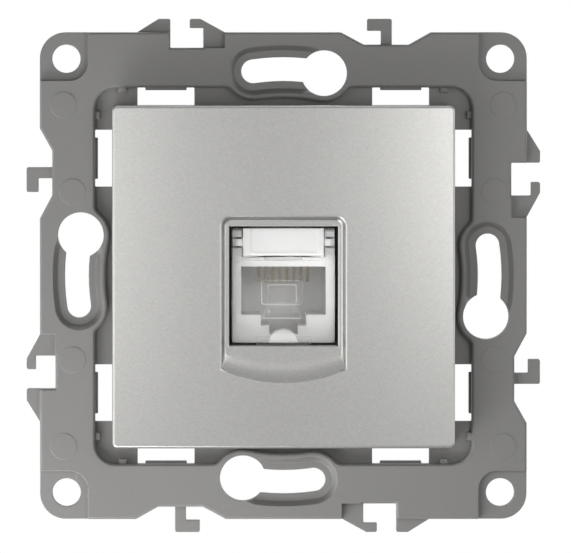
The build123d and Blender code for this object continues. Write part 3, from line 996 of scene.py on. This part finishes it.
@dataclass
class FlapWork(SubAssembly):
    """The clear dust flap with the raised outline of a monitor and its keyboard."""

    edge: float = 0.08
    smooth_angle: float = 30.0
    sunk: float = 0.12
    stand: float = 0.3
    relief_edge: float = 0.22
    relief_edge_share: float = 0.8
    corner: float = 0.45
    corner_segments: int = 5
    screen_centre: Pair = (-0.24, -2.29)
    screen_size: Pair = (5.95, 3.55)
    screen_inset: float = 0.4
    glass_centre: Pair = (-0.21, -2.43)
    glass_size: Pair = (3.99, 2.4)
    keyboard_z: Pair = (-4.2, -6.05)
    keyboard_half: Pair = (2.12, 2.97)
    key_places: tuple[Pair, ...] = ((-1.85, -5.1), (1.25, -5.1))
    key_radius: float = 0.2
    key_stand: float = 0.6
    ring_centre: Pair = (-5.57, 1.13)
    ring_radius: float = 1.35
    ring_stand: float = 0.09
    disc_sides: int = 36
    disc_taper: float = 0.06

    def build(self) -> None:
        """Build the flap and join the relief to it."""
        flap = self.softened("dust_flap", Body.FLAP, Slot.FLAP, self.edge)
        for form in (self.monitor(), self.keyboard(), self.keys(), self.ring()):
            self.join(flap, form)
        flap.data.set_sharp_from_angle(angle=math.radians(self.smooth_angle))

    def root(self) -> float:
        """Give the height of the relief's root, sunk in the front that flap and jack share."""
        return front_of("jack_body") - self.sunk

    def join(self, flap: bpy.types.Object, bm: bmesh.types.BMesh) -> None:
        """Add a raised form to the flap's own mesh, while its weighted normals rest.

        Args:
            flap: The flap.
            bm: The form, closed and partly sunk in the flap.
        """
        bmesh.ops.recalc_face_normals(bm, faces=bm.faces)
        tool = bpy.data.objects.new("relief_tool", to_mesh(bm, "relief_tool"))
        bpy.context.scene.collection.objects.link(tool)
        weighted = flap.modifiers[0]
        union = flap.modifiers.new("relief", "BOOLEAN")
        union.operation = "UNION"
        union.solver = "EXACT"
        union.object = tool
        weighted.show_viewport = False
        graph = bpy.context.evaluated_depsgraph_get()
        joined = bpy.data.meshes.new_from_object(flap.evaluated_get(graph))
        flap.modifiers.remove(union)
        weighted.show_viewport = True
        flap.data = joined
        joined.shade_smooth()
        bpy.data.objects.remove(tool)

    def raised(self, bm: bmesh.types.BMesh) -> None:
        """Pull flat faces out of the flap's front and round their rim.

        Args:
            bm: The bmesh that holds them, face up in the XY plane.
        """
        lifted = bmesh.ops.extrude_face_region(bm, geom=list(bm.faces))
        top = [part for part in lifted["geom"] if isinstance(part, bmesh.types.BMVert)]
        bmesh.ops.translate(bm, verts=top, vec=(0, 0, (self.stand + self.sunk) * MM))
        bmesh.ops.recalc_face_normals(bm, faces=bm.faces)
        highest = max(vert.co.z for vert in bm.verts)
        rim = [
            edge
            for edge in corners_past(bm, self.corner_angle)
            if all(vert.co.z > highest - MERGE_RANGE for vert in edge.verts)
        ]
        width = min(self.relief_edge, self.relief_edge_share * self.stand)
        round_edges(bm, rim, width, self.edge_segments)
        moved = Matrix.Translation(at(0, self.root(), 0))
        bmesh.ops.transform(bm, matrix=moved @ turned(90, "X"), verts=bm.verts)

    def outline(self, bm: bmesh.types.BMesh, centre: Pair, size: Pair) -> None:
        """Add a flat rectangle with rounded corners.

        Args:
            bm: The bmesh to add to.
            centre: Its middle, x and z.
            size: Its width and height.
        """
        moved = Matrix.Translation((centre[0] * MM, centre[1] * MM, 0))
        sized = Matrix.Diagonal((size[0] / 2 * MM, size[1] / 2 * MM, 1, 1))
        bmesh.ops.create_grid(bm, x_segments=1, y_segments=1, size=1.0, matrix=moved @ sized)
        bmesh.ops.bevel(
            bm,
            geom=list(bm.verts),
            offset=self.corner * MM,
            offset_type="OFFSET",
            affect="VERTICES",
            segments=self.corner_segments,
            profile=0.5,
            material=-1,
        )

    def monitor(self) -> bmesh.types.BMesh:
        """Build the raised rim of the monitor.

        Returns:
            The closed form.
        """
        bm = bmesh.new()
        self.outline(bm, self.screen_centre, self.screen_size)
        bm.faces.ensure_lookup_table()
        inner = bm.faces[0]
        bmesh.ops.inset_region(
            bm,
            faces=[inner],
            use_boundary=True,
            use_even_offset=True,
            thickness=self.screen_inset * MM,
        )
        across = [vert.co.x for vert in inner.verts]
        upward = [vert.co.y for vert in inner.verts]
        wide = max(across) - min(across)
        high = max(upward) - min(upward)
        fit = Matrix.Diagonal((self.glass_size[0] * MM / wide, self.glass_size[1] * MM / high, 1, 1))
        goal = Vector((self.glass_centre[0] * MM, self.glass_centre[1] * MM, 0))
        middle = inner.calc_center_median()
        matrix = Matrix.Translation(goal) @ fit @ Matrix.Translation(-middle)
        bmesh.ops.transform(bm, matrix=matrix, verts=list(inner.verts))
        bmesh.ops.delete(bm, geom=[inner], context="FACES_ONLY")
        self.raised(bm)
        return bm

    def keyboard(self) -> bmesh.types.BMesh:
        """Build the raised keyboard below the monitor, wider at its foot.

        Returns:
            The closed form.
        """
        bm = bmesh.new()
        top, foot = self.keyboard_z
        top_half, foot_half = self.keyboard_half
        centre = self.screen_centre[0]
        self.outline(bm, (centre, (top + foot) / 2), (2 * foot_half, top - foot))
        taper = 1 - top_half / foot_half
        for vert in bm.verts:
            rise = (vert.co.y / MM - foot) / (top - foot)
            vert.co.x = (centre + (vert.co.x / MM - centre) * (1 - rise * taper)) * MM
        self.raised(bm)
        return bm

    def keys(self) -> bmesh.types.BMesh:
        """Build the two small studs on the keyboard.

        Returns:
            The closed forms.
        """
        bm = bmesh.new()
        for place in self.key_places:
            self.disc(bm, place, self.key_radius, self.key_stand)
        return bm

    def ring(self) -> bmesh.types.BMesh:
        """Build the round mark near the flap's corner.

        Returns:
            The closed form.
        """
        bm = bmesh.new()
        self.disc(bm, self.ring_centre, self.ring_radius, self.ring_stand)
        return bm

    def disc(self, bm: bmesh.types.BMesh, place: Pair, radius: float, stand: float) -> None:
        """Add a low round stud on the flap's front.

        Args:
            bm: The bmesh to add to.
            place: Its middle, x and z.
            radius: Its radius.
            stand: How far it stands out.
        """
        depth = stand + self.sunk
        middle = Matrix.Translation(at(place[0], self.root() + depth / 2, place[1]))
        add_stud(bm, middle, radius, radius - self.disc_taper, depth, self.disc_sides)


@dataclass
class RearWork(SubAssembly):
    """Holder, board and terminals behind the frame."""

    edge: float = 0.12
    fine_edge: float = 0.05
    contacts: int = 8

    def build(self) -> None:
        """Build the pieces behind the frame."""
        self.softened("jack_holder", Body.SOCKET, Slot.HOLDER, self.edge)
        self.softened("circuit_board", Body.SOCKET, Slot.BOARD, self.fine_edge)
        self.softened("idc_block", Body.SOCKET, Slot.TERMINAL_BODY, self.edge)
        self.softened("idc_cap_left", Body.LEFT_CAP, Slot.CAP, self.edge)
        self.softened("idc_cap_right", Body.RIGHT_CAP, Slot.CAP, self.edge)
        for number in range(1, self.contacts + 1):
            self.softened(f"idc_contact_{number}", Body.SOCKET, Slot.TERMINAL_METAL, self.fine_edge)


@dataclass(frozen=True)
class Softbox:
    """One soft lamp that faces the middle of the socket, its place and size in metres."""

    name: str
    place: tuple[float, float, float]
    size: Pair
    watts: float

    def build(self) -> None:
        """Put the lamp in the scene."""
        lamp = bpy.data.lights.new(self.name, "AREA")
        lamp.shape = "RECTANGLE"
        lamp.size, lamp.size_y = self.size
        lamp.energy = self.watts
        holder = bpy.data.objects.new(self.name, lamp)
        holder.location = self.place
        holder.rotation_euler = (-Vector(self.place)).to_track_quat("-Z", "Y").to_euler()
        bpy.context.scene.collection.objects.link(holder)


@dataclass(frozen=True)
class Viewpoint:
    """Where the picture is taken from, in the picture's own pixels and the model's millimetres."""

    azimuth: float = -0.33
    elevation: float = 1.75
    distance: float = 1500.0
    pixels_per_mm: float = 6.889
    picture_size: Pair = (571.0, 553.0)
    centre_pixel: Pair = (283.4, 275.9)
    sensor: float = 36.0
    nearest: float = 50.0
    farthest: float = 20000.0

    def build(self) -> None:
        """Put the camera in the scene."""
        width, height = self.picture_size
        data = bpy.data.cameras.new("camera")
        data.sensor_width = self.sensor
        data.lens = self.sensor * self.distance * self.pixels_per_mm / width
        data.clip_start = self.nearest * MM
        data.clip_end = self.farthest * MM
        camera = bpy.data.objects.new("camera", data)
        bpy.context.scene.collection.objects.link(camera)
        bpy.context.scene.camera = camera
        turn = math.radians(self.azimuth)
        rise = math.radians(self.elevation)
        level = math.cos(rise)
        back = Vector((math.sin(turn) * level, -math.cos(turn) * level, math.sin(rise)))
        right = (width / 2 - self.centre_pixel[0]) / self.pixels_per_mm
        up = (self.centre_pixel[1] - height / 2) / self.pixels_per_mm
        camera.location = at(right, front_of("support_frame"), up) + back * self.distance * MM
        camera.rotation_euler = (-back).to_track_quat("-Z", "Y").to_euler()


@dataclass(frozen=True)
class Studio:
    """The pale floor, the soft lamps and the white surroundings, all placed in metres."""

    floor_z: float = -0.30
    floor_half: float = 0.6
    floor_colour: Colour = (0.82, 0.82, 0.81)
    backdrop_share: float = 0.75
    ambient: float = 0.10
    softboxes: tuple[Softbox, ...] = (
        Softbox("left_softbox", place=(-0.16, -0.09, -0.07), size=(0.20, 0.22), watts=0.31),
        Softbox("low_softbox", place=(-0.07, -0.07, -0.11), size=(0.12, 0.05), watts=0.18),
        Softbox("left_strip", place=(-0.056, -0.15, 0.012), size=(0.03, 0.07), watts=0.030),
        Softbox("right_softbox", place=(0.25, -0.35, 0.02), size=(0.20, 0.30), watts=0.12),
        Softbox("far_right_softbox", place=(0.28, -0.06, 0.02), size=(0.12, 0.20), watts=0.14),
        Softbox("right_strip", place=(0.057, -0.15, 0.024), size=(0.03, 0.07), watts=0.050),
        Softbox("rear_left_softbox", place=(-0.38, 0.28, 0.05), size=(0.40, 0.40), watts=1.0),
        Softbox("rear_right_softbox", place=(0.38, 0.28, 0.05), size=(0.40, 0.40), watts=0.9),
        Softbox("rear_top_softbox", place=(0.0, 0.30, 0.42), size=(0.40, 0.40), watts=1.2),
    )

    def build(self) -> None:
        """Put the floor, the lamps and the world in the scene."""
        self.floor()
        self.world()
        for lamp in self.softboxes:
            lamp.build()

    def floor(self) -> None:
        """Lay the floor, near white to the camera and still able to hold a shadow."""
        bm = bmesh.new()
        level = Matrix.Translation((0, 0, self.floor_z))
        bmesh.ops.create_grid(bm, x_segments=1, y_segments=1, size=self.floor_half, matrix=level)
        floor = bpy.data.objects.new("floor", to_mesh(bm, "floor"))
        bpy.context.scene.collection.objects.link(floor)
        material = bpy.data.materials.new("pale_floor")
        material.use_nodes = True
        tree = material.node_tree
        tree.nodes.clear()
        graph = Graph(tree)
        cloth = graph.add("ShaderNodeBsdfDiffuse", {"Color": (*self.floor_colour, 1.0)})
        glow = graph.add("ShaderNodeEmission", {"Color": (*WHITE, 1.0)})
        share = graph.math("MULTIPLY", self.shown(graph), self.backdrop_share)
        mix = graph.add("ShaderNodeMixShader", {0: share, 1: cloth.outputs[0], 2: glow.outputs[0]})
        graph.add("ShaderNodeOutputMaterial", {"Surface": mix.outputs[0]})
        floor.data.materials.append(material)

    def world(self) -> None:
        """Surround the object with white for the camera and plain grey light for everything else."""
        world = bpy.data.worlds.new("studio")
        bpy.context.scene.world = world
        world.use_nodes = True
        tree = world.node_tree
        tree.nodes.clear()
        graph = Graph(tree)
        strength = graph.spread(self.shown(graph), self.ambient, 1.0)
        light = graph.add("ShaderNodeBackground", {"Color": (*WHITE, 1.0), "Strength": strength})
        graph.add("ShaderNodeOutputWorld", {"Surface": light.outputs[0]})

    def shown(self, graph: Graph) -> bpy.types.NodeSocket:
        """Mark the rays that show the surroundings: direct, mirrored or seen through glass.

        Args:
            graph: The graph to add to.

        Returns:
            A socket that is 1 for those rays and 0 for plain light.
        """
        rays = graph.add("ShaderNodeLightPath").outputs
        bent = graph.math("MAXIMUM", rays["Is Glossy Ray"], rays["Is Transmission Ray"])
        return graph.math("MAXIMUM", rays["Is Camera Ray"], bent)


def clear_scene() -> None:
    """Remove what a fresh file holds."""
    for thing in list(bpy.data.objects):
        bpy.data.objects.remove(thing)


def main() -> None:
    """Build the dressed socket and its studio."""
    logging.basicConfig(level=logging.INFO, format="%(name)s: %(message)s")
    clear_scene()
    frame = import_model()
    fitted = (*FINISHES, ClearPlastic.fitted(frame))
    finishes = {finish.slot: finish.build() for finish in fitted}
    for part in (FrameWork, PlateWork, JackWork, FlapWork, RearWork):
        work = part(frame, finishes)
        work.build()
        work.report()
    Viewpoint().build()
    Studio().build()
    bpy.context.scene.view_settings.view_transform = "Standard"


if __name__ == "__main__":
    main()
